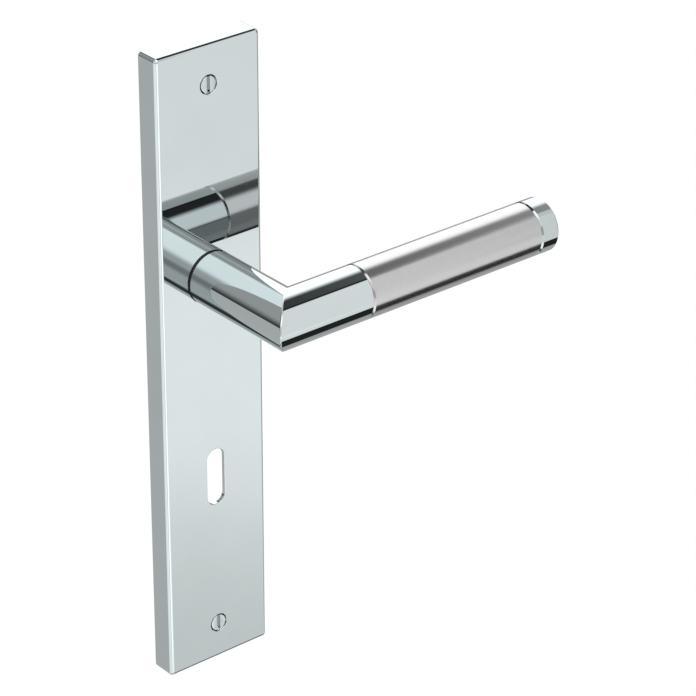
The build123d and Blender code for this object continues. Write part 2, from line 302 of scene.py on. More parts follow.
def rounded_rectangle(width, height, radius, middle, corner_steps):
    """Points of a rectangle with round corners, up the plate."""
    points = []
    for corner, (side, end) in enumerate(((1, 1), (-1, 1), (-1, -1), (1, -1))):
        x = side * (width / 2 - radius)
        z = middle + end * (height / 2 - radius)
        for step in range(corner_steps + 1):
            angle = pi / 2 * (corner + step / corner_steps)
            points.append((x + radius * cos(angle), z + radius * sin(angle)))
    return points


def keyhole_outline(width, height, middle, end_steps):
    """Points of an upright slot with round ends."""
    points = []
    for end, start in ((1, 0.0), (-1, pi)):
        z = middle + end * (height - width) / 2
        for step in range(end_steps + 1):
            angle = start + pi * step / end_steps
            points.append((width / 2 * cos(angle), z + width / 2 * sin(angle)))
    return points


def at_height(points, height):
    """Points across the plate, that far in front of the door face."""
    return [(x, -height, z) for x, z in points]


def turned(bm, profile, steps, place):
    """Loops of a round from (along, radius) points; place puts (along, across, up) in the frame."""
    loops = []
    for along, radius in profile:
        loops.append(loop_of(bm, [place(along, x, z) for x, z in circle(radius, steps)]))
    bridge_all(bm, loops)
    return loops


def along_lever(reach):
    """Places a round on the grip's axis."""
    return lambda along, across, up: (along, across - reach, up)


def into_door(along, across, up):
    """Places a round on the lever's turning axis."""
    return (across, along, up)


def settle(piece):
    """Bakes a piece's modifiers into a plain mesh."""
    depsgraph = bpy.context.evaluated_depsgraph_get()
    baked = bpy.data.meshes.new_from_object(piece.evaluated_get(depsgraph), depsgraph=depsgraph)
    rough = piece.data
    piece.modifiers.clear()
    piece.data = baked
    bpy.data.meshes.remove(rough)
    baked.name = piece.name


def new_object(name, bm):
    """An object at the origin from a closed mesh whose faces point outwards."""
    bmesh.ops.remove_doubles(bm, verts=bm.verts, dist=SAME_POINT)
    bmesh.ops.recalc_face_normals(bm, faces=bm.faces)
    mesh = bpy.data.meshes.new(name)
    bm.to_mesh(mesh)
    bm.free()
    piece = bpy.data.objects.new(name, mesh)
    bpy.context.scene.collection.objects.link(piece)
    return piece


def smooth(piece):
    """Smooth shading up to an angle, with flat and round faces keeping their own direction."""
    piece.data.shade_smooth()
    piece.data.set_sharp_from_angle(angle=CREASE)
    weighted = piece.modifiers.new("Weighted normals", "WEIGHTED_NORMAL")
    weighted.mode = "FACE_AREA"
    weighted.weight = LARGE_FACE_WEIGHT
    weighted.keep_sharp = True
    settle(piece)


def cut(piece, cutter_mesh):
    """Cuts a closed shape out of a piece, and leaves no slivers along the cut."""
    cutter = new_object("cutter", cutter_mesh)
    boolean = piece.modifiers.new("Cut", "BOOLEAN")
    boolean.operation = "DIFFERENCE"
    boolean.solver = "EXACT"
    boolean.object = cutter
    settle(piece)
    mesh = cutter.data
    bpy.data.objects.remove(cutter)
    bpy.data.meshes.remove(mesh)
    clean = bmesh.new()
    clean.from_mesh(piece.data)
    bmesh.ops.remove_doubles(clean, verts=clean.verts, dist=SAME_POINT_AFTER_CUT)
    bmesh.ops.dissolve_degenerate(clean, edges=clean.edges, dist=SAME_POINT_AFTER_CUT)
    clean.to_mesh(piece.data)
    clean.free()


def dress(piece, make, body, node):
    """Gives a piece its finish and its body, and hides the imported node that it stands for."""
    piece.data.materials.clear()
    piece.data.materials.append(finish_once(make))
    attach(piece, body)
    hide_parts(node)


# Nodes


def add(tree, kind, sockets, **settings):
    """A new node; each named input gets a value, an output or another node's first output."""
    node = tree.nodes.new(kind)
    for name, value in settings.items():
        setattr(node, name, value)
    for socket, value in sockets.items():
        if isinstance(value, bpy.types.Node):
            value = value.outputs[0]
        if isinstance(value, bpy.types.NodeSocket):
            tree.links.new(value, node.inputs[socket])
        else:
            node.inputs[socket].default_value = value
    return node


def math_node(tree, operation, *values):
    """A sum, product or other operation on numbers and nodes."""
    return add(tree, "ShaderNodeMath", dict(enumerate(values)), operation=operation)


def seen_directly(tree, first, second):
    """The first shader, with the second one for rays from the camera or through glass."""
    path = add(tree, "ShaderNodeLightPath", {}).outputs
    direct = math_node(tree, "MAXIMUM", path["Is Camera Ray"], path["Is Transmission Ray"])
    return add(tree, "ShaderNodeMixShader", {0: direct, 1: first, 2: second})


# Finishes


class Finish:
    """A node material in the making."""

    def __init__(self, name, rgb, metallic, roughness):
        self.material = bpy.data.materials.new(name)
        self.material.use_nodes = True
        self.tree = self.material.node_tree
        self.shader = self.tree.nodes["Principled BSDF"]
        plain = {"Base Color": (*rgb, 1.0), "Metallic": metallic, "Roughness": roughness}
        for socket, value in plain.items():
            self.shader.inputs[socket].default_value = value
        self.rgb = rgb

    def noise(self, per_metre, detail=4.0, stretch=(1.0, 1.0, 1.0)):
        """Grain of a size, stretched along the piece's own axes."""
        place = add(self.tree, "ShaderNodeTexCoord", {}).outputs["Object"]
        mapping = add(self.tree, "ShaderNodeMapping", {"Vector": place, "Scale": stretch})
        sockets = {"Vector": mapping, "Scale": per_metre, "Detail": detail}
        return add(self.tree, "ShaderNodeTexNoise", sockets)

    def span(self, grain, low, high):
        """Grain spread over a range."""
        ends = {"From Min": GRAIN_LOW, "From Max": GRAIN_HIGH, "To Min": low, "To Max": high}
        return add(self.tree, "ShaderNodeMapRange", {"Value": grain, **ends})

    def vary_roughness(self, grain, low, high):
        """Duller and glossier spots."""
        self.tree.links.new(self.span(grain, low, high).outputs[0], self.shader.inputs["Roughness"])

    def vary_colour(self, grain, darker, lighter):
        """Shades of the base colour, each a multiple of it."""
        mix = add(self.tree, "ShaderNodeMix", {"Factor": self.span(grain, 0.0, 1.0)}, data_type="RGBA")
        colours = [socket for socket in mix.inputs if socket.type == "RGBA"]
        for socket, multiple in zip(colours, (darker, lighter)):
            socket.default_value = (*[channel * multiple for channel in self.rgb], 1.0)
        result = next(socket for socket in mix.outputs if socket.type == "RGBA")
        self.tree.links.new(result, self.shader.inputs["Base Color"])

    def relief(self, grain, depth, strength):
        """Fine relief of the surface."""
        sockets = {"Height": grain, "Distance": depth, "Strength": strength}
        bump = add(self.tree, "ShaderNodeBump", sockets)
        self.tree.links.new(bump.outputs[0], self.shader.inputs["Normal"])


def finish_once(make):
    """The material that a function makes, under the function's own name, at its first use."""
    name = make.__name__
    return bpy.data.materials.get(name) or make(name, bpy.context.scene.door_handle.finishes)


def mirror_chrome(name, colours):
    """Mirror chrome with a faint cloudiness and the finest polishing haze."""
    finish = Finish(name, colours.chrome, metallic=1.0, roughness=colours.chrome_roughness)
    dull = colours.chrome_roughness
    finish.vary_colour(finish.noise(per_metre=55.0, detail=2.0), darker=0.985, lighter=1.015)
    finish.vary_roughness(finish.noise(per_metre=900.0), low=dull * 0.6, high=dull * 1.3)
    return finish.material


def turned_satin(name, colours):
    """Steel turned to a fine satin, with lines that run round the lever."""
    finish = Finish(name, colours.satin, metallic=1.0, roughness=colours.satin_roughness)
    dull = colours.satin_roughness
    lines = finish.noise(per_metre=180.0, detail=6.0, stretch=(30.0, 1.0, 1.0))
    bands = finish.noise(per_metre=260.0, detail=3.0, stretch=(6.0, 1.0, 1.0))
    finish.vary_colour(bands, darker=0.985, lighter=1.015)
    finish.vary_roughness(lines, low=dull * 0.93, high=dull * 1.08)
    finish.relief(lines, depth=0.004 * MM, strength=0.08)
    return finish.material


def plated_screw(name, colours):
    """Chrome over a turned blank, a little duller than the plate."""
    finish = Finish(name, colours.screw, metallic=1.0, roughness=0.09)
    finish.vary_colour(finish.noise(per_metre=700.0), darker=0.95, lighter=1.05)
    finish.vary_roughness(finish.noise(per_metre=2600.0), low=0.05, high=0.13)
    return finish.material


def moulded_nylon(name, colours):
    """Moulded nylon with a fine grain."""
    finish = Finish(name, colours.nylon, metallic=0.0, roughness=0.48)
    finish.vary_colour(finish.noise(per_metre=120.0), darker=0.8, lighter=1.25)
    grain = finish.noise(per_metre=2600.0, detail=3.0)
    finish.vary_roughness(grain, low=0.42, high=0.56)
    finish.relief(grain, depth=0.03 * MM, strength=0.35)
    return finish.material


def oiled_steel(name, colours):
    """Dark oiled steel with drawing lines."""
    finish = Finish(name, colours.spring, metallic=1.0, roughness=0.32)
    finish.vary_colour(finish.noise(per_metre=500.0), darker=0.75, lighter=1.2)
    grain = finish.noise(per_metre=1500.0, detail=5.0)
    finish.vary_roughness(grain, low=0.24, high=0.42)
    finish.relief(grain, depth=0.01 * MM, strength=0.3)
    return finish.material


def bright_zinc(name, colours):
    """Bright zinc with its mottled crystals."""
    finish = Finish(name, colours.zinc, metallic=1.0, roughness=0.3)
    finish.vary_colour(finish.noise(per_metre=650.0, detail=2.0), darker=0.86, lighter=1.08)
    finish.vary_roughness(finish.noise(per_metre=420.0), low=0.2, high=0.4)
    return finish.material


# Pieces


class HANDLE_OT_cover_plate(bpy.types.Operator):
    """Build the hollow cover plate with its bevelled front, neck hole, keyhole and screw seats"""

    bl_idname = "handle.cover_plate"
    bl_label = "Cover Plate"

    def execute(self, context):
        settings = context.scene.door_handle
        bm = bmesh.new()
        rims = [self.shell(bm, settings), self.neck_hole(bm, settings), self.keyhole(bm, settings),
                *self.screw_seats(bm, settings)]
        for face_loops in zip(*rims):
            fill_flat(bm, *face_loops)
        piece = new_object("door_plate_shell", bm)
        smooth(piece)
        dress(piece, mirror_chrome, "plate", "cover_plate")
        return {"FINISHED"}

    def shell(self, bm, settings):
        """The plate's sides; gives its loops round the front and round the hollow's end."""
        plate = settings.plate
        middle = (PLATE_LOW.z + PLATE_HIGH.z) / 2
        steps = settings.edge_steps

        def outline(inset, radius, height):
            width, tall = plate.width - 2 * inset, plate.height - 2 * inset
            points = rounded_rectangle(width, tall, radius, middle, steps)
            return loop_of(bm, at_height(points, height))

        inside = [outline(plate.wall, plate.inside_radius, height) for height in (plate.inner_face, 0.0)]
        outside = [outline(0.0, plate.corner_radius, 0.0)]
        edge = soft_bevel(plate, steps)
        for inset, rise in edge:
            height = plate.depth - edge[-1][1] + rise
            outside.append(outline(inset, plate.corner_radius - inset, height))
        bridge_all(bm, inside + outside)
        return outside[-1], inside[0]

    def eased_hole(self, bm, settings, ease, outline):
        """A hole through the front with a rounded rim; outline gives its points at a growth."""
        plate = settings.plate
        loops = [loop_of(bm, at_height(outline(0.0), plate.inner_face))]
        for inset, rise in quarter(ease, settings.edge_steps):
            height = plate.depth - ease + rise
            loops.append(loop_of(bm, at_height(outline(inset), height)))
        bridge_all(bm, loops)
        return loops[-1], loops[0]

    def neck_hole(self, bm, settings):
        """The round hole that the bearing bush passes through."""
        plate = settings.plate
        radius = plate.bush_radius + plate.bush_gap
        return self.eased_hole(bm, settings, plate.neck_ease,
                               lambda grow: circle(radius + grow, settings.round_steps))

    def keyhole(self, bm, settings):
        """The upright slot for the key."""
        plate = settings.plate

        def outline(grow):
            width = plate.keyhole_width + 2 * grow
            height = plate.keyhole_height + 2 * grow
            return keyhole_outline(width, height, -plate.keyhole_drop, settings.small_round_steps // 4)

        return self.eased_hole(bm, settings, plate.key_ease, outline)

    def screw_seats(self, bm, settings):
        """Countersunk holes, one for each fixing screw."""
        plate, screws = settings.plate, settings.screws
        head = screws.head_radius + screws.seat_gap
        land = -SCREWS_LOW.y - screws.head_land
        inner = head - (land - plate.inner_face)
        for height in screw_heights(settings):
            loops = []
            profile = [(plate.inner_face, inner), (land, head), (plate.depth - plate.seat_ease, head),
                       (plate.depth, head + plate.seat_ease)]
            for up, radius in profile:
                points = circle(radius, settings.small_round_steps, (0.0, height))
                loops.append(loop_of(bm, at_height(points, up)))
            bridge_all(bm, loops)
            yield loops[-1], loops[0]


def screw_heights(settings):
    """The two screws' axes, up the plate."""
    inset = settings.screws.inset
    return PLATE_HIGH.z - inset, PLATE_LOW.z + inset


class HANDLE_OT_lever_elbow(bpy.types.Operator):
    """Build the lever: neck, square mitre, polished run, journal, spindle socket and core"""

    bl_idname = "handle.lever_elbow"
    bl_label = "Lever Elbow"

    def execute(self, context):
        settings = context.scene.door_handle
        bm = bmesh.new()
        journal = self.journal(bm, settings)
        bar = self.bent_bar(bm, settings)
        core = self.core(bm, settings)
        bridge(bm, journal[-1], bar[0])
        bridge(bm, bar[-1], core[0])
        piece = new_object("lever_bar", bm)
        self.drill_grub_hole(piece, settings)
        smooth(piece)
        dress(piece, mirror_chrome, "lever", "lever_elbow")
        return {"FINISHED"}

    def journal(self, bm, settings):
        """Loops from the socket's end to the neck's shoulder."""
        lever = settings.lever
        end = -LEVER_HIGH.y
        flats_end = lever.driver_thickness - DRIVER_HIGH.y
        low, high = -RING_HIGH.y - lever.ring_play, -RING_LOW.y + lever.ring_play
        full, under_ring = lever.journal_radius, lever.ring_groove_radius

        def section(height, radius, limit):
            """A round loop, drawn in on two sides to a limit, as at the flats."""
            points = []
            for x, z in circle(radius, settings.round_steps):
                inwards = limit / max(limit, abs(x))
                points.append((x * inwards, z * inwards))
            return loop_of(bm, at_height(points, height))

        flatted = ((end, full), (low, full), (low, under_ring), (high, under_ring), (high, full),
                   (flats_end, full))
        loops = [section(height, radius, lever.flats / 2) for height, radius in flatted]
        loops += [section(height, full, full) for height in (flats_end, lever.shoulder)]
        bridge_all(bm, loops)
        half = lever.socket / 2
        square = ((half, half), (-half, half), (-half, -half), (half, -half))
        socket = [loop_of(bm, at_height(square, height)) for height in (end, lever.socket_depth)]
        bridge_all(bm, socket)
        bm.faces.new(socket[1])
        fill_flat(bm, loops[0], socket[0])
        return loops

    def bent_bar(self, bm, settings):
        """Loops of the round bar from its shoulder round the mitre to the first groove."""
        lever = settings.lever
        reach, rounding = lever.reach, lever.mitre_radius
        section = circle(lever.radius, settings.round_steps)
        loops = [loop_of(bm, at_height(section, lever.shoulder))]
        for out, rise in quarter(rounding, settings.edge_steps):
            points = [(x + out, x - reach + rounding - rise, z) for x, z in section]
            loops.append(loop_of(bm, points))
        place = along_lever(reach)
        end = SLEEVE_LOW.x
        for along, inset in ((end - lever.groove, 0.0), (end, lever.groove)):
            points = circle(lever.radius - inset, settings.round_steps)
            loops.append(loop_of(bm, [place(along, x, z) for x, z in points]))
        bridge_all(bm, loops)
        return loops

    def core(self, bm, settings):
        """Loops of the core under the sleeve and of the hole for the cap's stud."""
        lever = settings.lever
        start, end = SLEEVE_LOW.x, LEVER_HIGH.x
        bottom = CAP_LOW.x - lever.stud_room
        bore = lever.stud_radius + lever.stud_fit
        profile = ((start, lever.core_radius), (end, lever.core_radius), (end, bore), (bottom, bore))
        loops = turned(bm, profile, settings.round_steps, along_lever(lever.reach))
        fill_flat(bm, loops[-1])
        return loops

    def drill_grub_hole(self, piece, settings):
        """Cuts the grub screw's hole into the neck, from below to the spindle socket."""
        radius = (GRUB_HIGH.x - GRUB_LOW.x) / 2 + settings.lever.grub_fit
        centre = (GRUB_LOW.y + GRUB_HIGH.y) / 2
        bm = bmesh.new()
        profile = ((-2 * settings.lever.radius, radius), (0.0, radius))
        loops = turned(bm, profile, settings.small_round_steps, lambda up, x, y: (x, y + centre, up))
        close_ends(bm, loops)
        cut(piece, bm)


class HANDLE_OT_grip_sleeve(bpy.types.Operator):
    """Build the satin sleeve between the two grooves"""

    bl_idname = "handle.grip_sleeve"
    bl_label = "Grip Sleeve"

    def execute(self, context):
        settings = context.scene.door_handle
        lever = settings.lever
        start, end, bevel = SLEEVE_LOW.x, SLEEVE_HIGH.x, lever.groove
        bore = lever.core_radius + lever.sleeve_fit
        profile = ((start, bore), (start, lever.radius - bevel), (start + bevel, lever.radius),
                   (end - bevel, lever.radius), (end, lever.radius - bevel), (end, bore))
        bm = bmesh.new()
        loops = turned(bm, profile, settings.round_steps, along_lever(lever.reach))
        bridge(bm, loops[-1], loops[0])
        piece = new_object("satin_sleeve", bm)
        smooth(piece)
        dress(piece, turned_satin, "lever", "grip_sleeve")
        return {"FINISHED"}


class HANDLE_OT_end_cap(bpy.types.Operator):
    """Build the polished cap with its stud"""

    bl_idname = "handle.end_cap"
    bl_label = "End Cap"

    def execute(self, context):
        settings = context.scene.door_handle
        lever = settings.lever
        start, end = SLEEVE_HIGH.x, CAP_HIGH.x
        profile = [(CAP_LOW.x, lever.stud_radius), (start, lever.stud_radius),
                   (start, lever.radius - lever.groove), (start + lever.groove, lever.radius)]
        for inset, rise in quarter(lever.cap_edge, settings.edge_steps):
            profile.append((end - lever.cap_edge + rise, lever.radius - inset))
        bm = bmesh.new()
        loops = turned(bm, profile, settings.round_steps, along_lever(lever.reach))
        close_ends(bm, loops)
        piece = new_object("lever_end_cap", bm)
        smooth(piece)
        dress(piece, mirror_chrome, "lever", "end_cap")
        return {"FINISHED"}


class HANDLE_OT_fixing_screws(bpy.types.Operator):
    """Build the two slotted wood screws: a node tree winds the thread and sets both in the plate"""

    bl_idname = "handle.fixing_screws"
    bl_label = "Fixing Screws"

    def execute(self, context):
        settings = context.scene.door_handle
        piece = self.blank(settings)
        self.cut_slot(piece, settings)
        smooth(piece)
        screws = settings.screws
        heights = screw_heights(settings)
        thread_end = SCREWS_HIGH.y - screws.tip_length
        sizes = {
            "Lowest": heights[1],
            "Spacing": heights[0] - heights[1],
            "Core Radius": screws.core_radius,
            "Thread Height": screws.crest_radius - screws.core_radius,
            "Pitch": screws.pitch,
            "Straight Length": thread_end,
            "Tip Length": screws.tip_length - screws.pitch / 2,
            "Tip Radius": screws.tip_radius / 2,
        }
        modifier = piece.modifiers.new("Screw set", "NODES")
        modifier.node_group = screw_set_tree(sizes, finish_once(plated_screw))
        for item in modifier.node_group.interface.items_tree:
            if item.item_type == "SOCKET" and item.in_out == "INPUT" and item.name in sizes:
                modifier[item.identifier] = sizes[item.name]
        settle(piece)
        dress(piece, plated_screw, "plate", "fixing_screws")
        return {"FINISHED"}

    def blank(self, settings):
        """One screw without its thread, on the lever's axis."""
        screws = settings.screws
        top, point = SCREWS_LOW.y, SCREWS_HIGH.y
        land = top + screws.head_land
        neck = land + screws.head_radius - screws.shank_radius
        profile = []
        for inset, rise in quarter(screws.head_ease, settings.edge_steps):
            profile.append((top + screws.head_ease - rise, screws.head_radius - inset))
        profile.reverse()
        profile += [(land, screws.head_radius), (neck, screws.shank_radius),
                    (-screws.pitch / 4, screws.shank_radius), (0.0, screws.core_radius),
                    (point - screws.tip_length, screws.core_radius), (point, screws.tip_radius)]
        bm = bmesh.new()
        loops = turned(bm, profile, settings.small_round_steps, into_door)
        close_ends(bm, loops)
        return new_object("plate_screws", bm)

    def cut_slot(self, piece, settings):
        """Cuts the upright driver's slot across the head."""
        screws = settings.screws
        bm = bmesh.new()
        bmesh.ops.create_cube(bm, size=1.0)
        size = Vector((screws.slot_width, 2 * screws.slot_depth, 4 * screws.head_radius))
        middle = Vector((0.0, SCREWS_LOW.y, 0.0))
        bmesh.ops.transform(bm, matrix=Matrix.LocRotScale(middle, None, size), verts=bm.verts)
        cut(piece, bm)


def screw_set_tree(sizes, material):
    """A node tree that adds a wood thread to a screw blank and sets one at each end of the plate."""
    tree = bpy.data.node_groups.new("Screw set", "GeometryNodeTree")
    tree.interface.new_socket("Blank", in_out="INPUT", socket_type="NodeSocketGeometry")
    for name, value in sizes.items():
        socket = tree.interface.new_socket(name, in_out="INPUT", socket_type="NodeSocketFloat")
        socket.default_value = value
        socket.subtype = "DISTANCE"
    tree.interface.new_socket("Screws", in_out="OUTPUT", socket_type="NodeSocketGeometry")
    inputs = add(tree, "NodeGroupInput", {}).outputs
    ridge = add(tree, "GeometryNodeCurvePrimitiveCircle", {
        "Resolution": RIDGE_SIDES,
        "Radius": math_node(tree, "MULTIPLY", inputs["Thread Height"], RIDGE_SHARE),
    }, mode="RADIUS")
    join = add(tree, "GeometryNodeJoinGeometry", {0: inputs["Blank"]})
    stretches = (
        ("Straight Length", 0.0, inputs["Core Radius"], inputs["Core Radius"]),
        ("Tip Length", inputs["Straight Length"], inputs["Core Radius"], inputs["Tip Radius"]),
    )
    for run, start, first_radius, last_radius in stretches:
        spiral = add(tree, "GeometryNodeCurveSpiral", {
            "Resolution": THREAD_STEPS,
            "Rotations": math_node(tree, "DIVIDE", inputs[run], inputs["Pitch"]),
            "Start Radius": first_radius,
            "End Radius": last_radius,
            "Height": inputs[run],
        })
        upright = add(tree, "GeometryNodeSetCurveNormal", {"Curve": spiral}, mode="Z_UP")
        sockets = {"Curve": upright, "Profile Curve": ridge, "Fill Caps": True}
        sweep = add(tree, "GeometryNodeCurveToMesh", sockets)
        lay = add(tree, "GeometryNodeTransform", {
            "Geometry": sweep,
            "Rotation": (radians(-90), 0.0, 0.0),
            "Translation": add(tree, "ShaderNodeCombineXYZ", {"Y": start}),
        })
        tree.links.new(lay.outputs[0], join.inputs[0])
    line = add(tree, "GeometryNodeMeshLine", {
        "Count": 2,
        "Start Location": add(tree, "ShaderNodeCombineXYZ", {"Z": inputs["Lowest"]}),
        "Offset": add(tree, "ShaderNodeCombineXYZ", {"Z": inputs["Spacing"]}),
    })
    pair = add(tree, "GeometryNodeInstanceOnPoints", {"Points": line, "Instance": join})
    realized = add(tree, "GeometryNodeRealizeInstances", {"Geometry": pair})
    painted = add(tree, "GeometryNodeSetMaterial", {"Geometry": realized, "Material": material})
    add(tree, "NodeGroupOutput", {0: painted})
    return tree


class HANDLE_OT_return_spring(bpy.types.Operator):
    """Build the torsion spring of square wire"""

    bl_idname = "handle.return_spring"
    bl_label = "Return Spring"

    def execute(self, context):
        settings = context.scene.door_handle
        stations = self.stations(settings.spring)
        bm = bmesh.new()
        loops = []
        for place, outwards, _ in stations:
            points = []
            for across, up in self.section(settings.spring):
                points.append(place + outwards * across + Vector((0.0, up, 0.0)))
            loops.append(loop_of(bm, points))
        bridge_all(bm, loops)
        bm.faces.new(loops[0])
        bm.faces.new(loops[-1])
        piece = new_object("torsion_spring", bm)
        smooth(piece)
        piece.data.materials.append(finish_once(oiled_steel))
        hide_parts("return_spring")
        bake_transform(piece)
        self.wind_evenly(piece, stations)
        return {"FINISHED"}

    def stations(self, spring):
        """Wire's middle, outward direction and share of the lever's turn, from the moving leg on."""
        back = -spring.coil_back - spring.wire / 2
        slope = spring.pitch / (2 * pi * spring.coil_radius)
        steps = spring.steps
        whole = 2 * pi * spring.turns
        found = []
        for step in range(steps + 1):
            angle = spring.start + whole * step / steps
            outwards = Vector((cos(angle), 0.0, sin(angle)))
            rise = spring.pitch * spring.turns * step / steps
            place = outwards * spring.coil_radius + Vector((0.0, back - rise, 0.0))
            found.append((place, outwards, 1.0 - step / steps))
        for end, where in ((0, 0), (-1, len(found) + 1)):
            place, outwards, wound = found[end]
            along = Vector((-outwards.z, -slope, outwards.x)).normalized()
            leg = along * spring.leg * (-1.0 if end == 0 else 1.0)
            found.insert(where, (place + leg, outwards, wound))
        return found

    def section(self, spring):
        """Points round the square wire, with bevelled edges."""
        half, ease = spring.wire / 2, spring.wire_ease
        corners = ((1, 1), (-1, 1), (-1, -1), (1, -1))
        points = []
        for turn_on, (side, end) in enumerate(corners):
            near = (side * half, end * (half - ease))
            far = (side * (half - ease), end * half)
            points += (near, far) if turn_on % 2 == 0 else (far, near)
        return points

    def wind_evenly(self, piece, stations):
        """Leaves the wire as it is: no stretch of it is turned with the lever."""


class HANDLE_OT_inner_parts(bpy.types.Operator):
    """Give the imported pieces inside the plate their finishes"""

    bl_idname = "handle.inner_parts"
    bl_label = "Inner Parts"

    def execute(self, context):
        finishes = {
            "support_plate": ("black_nylon", moulded_nylon),
            "bearing_bush": ("black_nylon", moulded_nylon),
            "spring_driver": ("zinc_plated_steel", bright_zinc),
            "retaining_ring": ("spring_steel", oiled_steel),
            "spindle_grub_screw": ("spring_steel", oiled_steel),
        }
        for node, (slot, make) in finishes.items():
            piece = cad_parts[node]
            piece.data.materials.clear()
            piece.data.materials.append(finish_once(make))
        return {"FINISHED"}


# Stage


class Card(NamedTuple):
    """A bright or dark area of the studio: its strength, and its limits on some of the studio's scales.

    Each limit holds two edges and how soft each is. Scales: across, degrees to the right of the
    plate's front; up, degrees above the horizon; side, the direction's share along the lever;
    and plan_x and plan_y, places on the floor or ceiling for each unit of height. Later cards
    cover earlier ones.
    """

    name: str
    strength: float
    across: tuple = None
    up: tuple = None
    side: tuple = None
    plan_x: tuple = None
    plan_y: tuple = None


# Strength where there is no card, and the least rise that the plan's scales divide by
STUDIO_BASE = 1.0
LEAST_STEEP = 0.01

STUDIO = (
    Card("left wall", 0.56, across=(-190, -100, 5, 10), up=(-2, 62, 0.8, 6)),
    Card("left floor", 0.74, across=(-190, -95, 5, 10), up=(-95, -2, 5, 0.8)),
    Card("left wall foot", 0.05, across=(-190, -100, 5, 10), up=(-2, 9, 0.8, 11)),
    Card("left flag", 0.06, across=(-131, -98, 3, 5), up=(-3, 62, 4, 6)),
    Card("left high flag", 0.05, across=(-145, -98, 4, 5), up=(38, 62, 2, 6)),
    Card("left back flag", 0.05, across=(-190, -151, 5, 4), up=(5, 33, 5, 4)),
    Card("right floor", 0.58, across=(60, 190, 10, 5), up=(-95, 0, 5, 0.6)),
    Card("far right floor", 0.47, across=(112, 190, 6, 5), up=(-44, 0, 6, 0.6)),
    Card("right horizon", 0.22, across=(112, 190, 6, 5), up=(-3.5, 2, 1, 2)),
    Card("back window", 2.05, across=(110, 160, 8, 6), up=(3.5, 62, 7, 6)),
    Card("right back flag", 0.05, across=(165, 190, 6, 5), up=(5, 50, 5, 5)),
    Card("front softbox", 1.32, across=(20, 60, 4, 5), up=(-60, 60, 4, 4)),
    Card("softbox corner", 1.02, across=(20, 60, 4, 5), up=(5, 60, 4, 4),
         side=(0.2, 0.548, 0.1, 0.006)),
    Card("softbox side", 1.14, across=(20, 60, 4, 5), up=(-60, 60, 4, 4),
         side=(0.6, 2, 0.03, 0.1)),
    Card("softbox glow", 1.52, across=(28, 40, 3, 1.5), up=(-30.2, -25.9, 1.5, 1.5)),
    Card("softbox foot", 1.08, across=(35, 39.5, 1.2, 1), up=(-40, -31.4, 2, 1.6)),
    Card("low glow", 2.1, across=(22, 32, 3, 2), up=(-42, -31, 3, 3)),
    Card("right end flag", 0.04, across=(30, 70, 4, 4), side=(0.665, 2, 0.02, 0.1),
         up=(-12, 44, 4, 5)),
    Card("grey post", 0.8, across=(41.5, 52, 1, 3), up=(2.5, 19, 1.5, 4)),
    Card("dark ceiling", 0.06, plan_y=(-0.46, 0.41, 0.03, 0.25), side=(0.3, 0.63, 0.1, 0.09),
         up=(36, 95, 3, 5)),
    Card("ceiling rim", 0.03, plan_y=(-0.46, -0.33, 0.03, 0.06), side=(0.5, 0.59, 0.03, 0.02),
         up=(36, 95, 3, 5)),
    Card("ceiling edge", 1.0, plan_y=(-0.6, -0.26, 0.02, 0.08), side=(0.6, 0.68, 0.012, 0.02),
         up=(40, 95, 3, 5)),
    Card("left front fill", 1.2, across=(-70, -24, 8, 6), up=(-40, 30, 5, 10)),
    Card("left front gap", 0.62, across=(-60, -30, 6, 6), up=(-6, 11, 7, 5)),
    Card("left gap foot", 0.62, across=(-60, -45.5, 4, 1.5), up=(-17, -4, 3, 3)),
    Card("top softbox", 2.85, across=(-38, 27.5, 7, 3.5), up=(29, 72, 9, 4)),
    Card("upper left window", 1.9, across=(-97, -66, 5, 8), up=(24, 52, 6, 6)),
    Card("low left window", 1.9, across=(-90, -45, 8, 8), up=(-60, -38, 4, 4)),
    Card("low left gap", 0.06, across=(-115, -50, 8, 6), up=(-74, -63, 2, 3)),
    Card("left strip", 1.5, across=(-95, -62, 6, 4), up=(-35, -19, 4, 4)),
    Card("front strip", 2.2, across=(-62, 14, 4, 4), up=(-35, -19, 4, 4)),
    Card("front strip gap", 1.2, across=(-52, -25, 3, 3), up=(-39, -15, 4, 4)),
    Card("low front fill", 1.05, across=(-1, 22, 1, 3), up=(-60, -36, 4, 3)),
    Card("low left flag", 0.10, plan_x=(-0.54, -0.06, 0.14, 0.05), plan_y=(-1.25, -0.9, 0.06, 0.1),
         up=(-70, -30, 4, 4)),
    Card("low right flag", 0.03, plan_x=(0.45, 1.15, 0.1, 0.08), plan_y=(-0.83, -0.12, 0.03, 0.03),
         up=(-80, -30, 4, 3)),
)


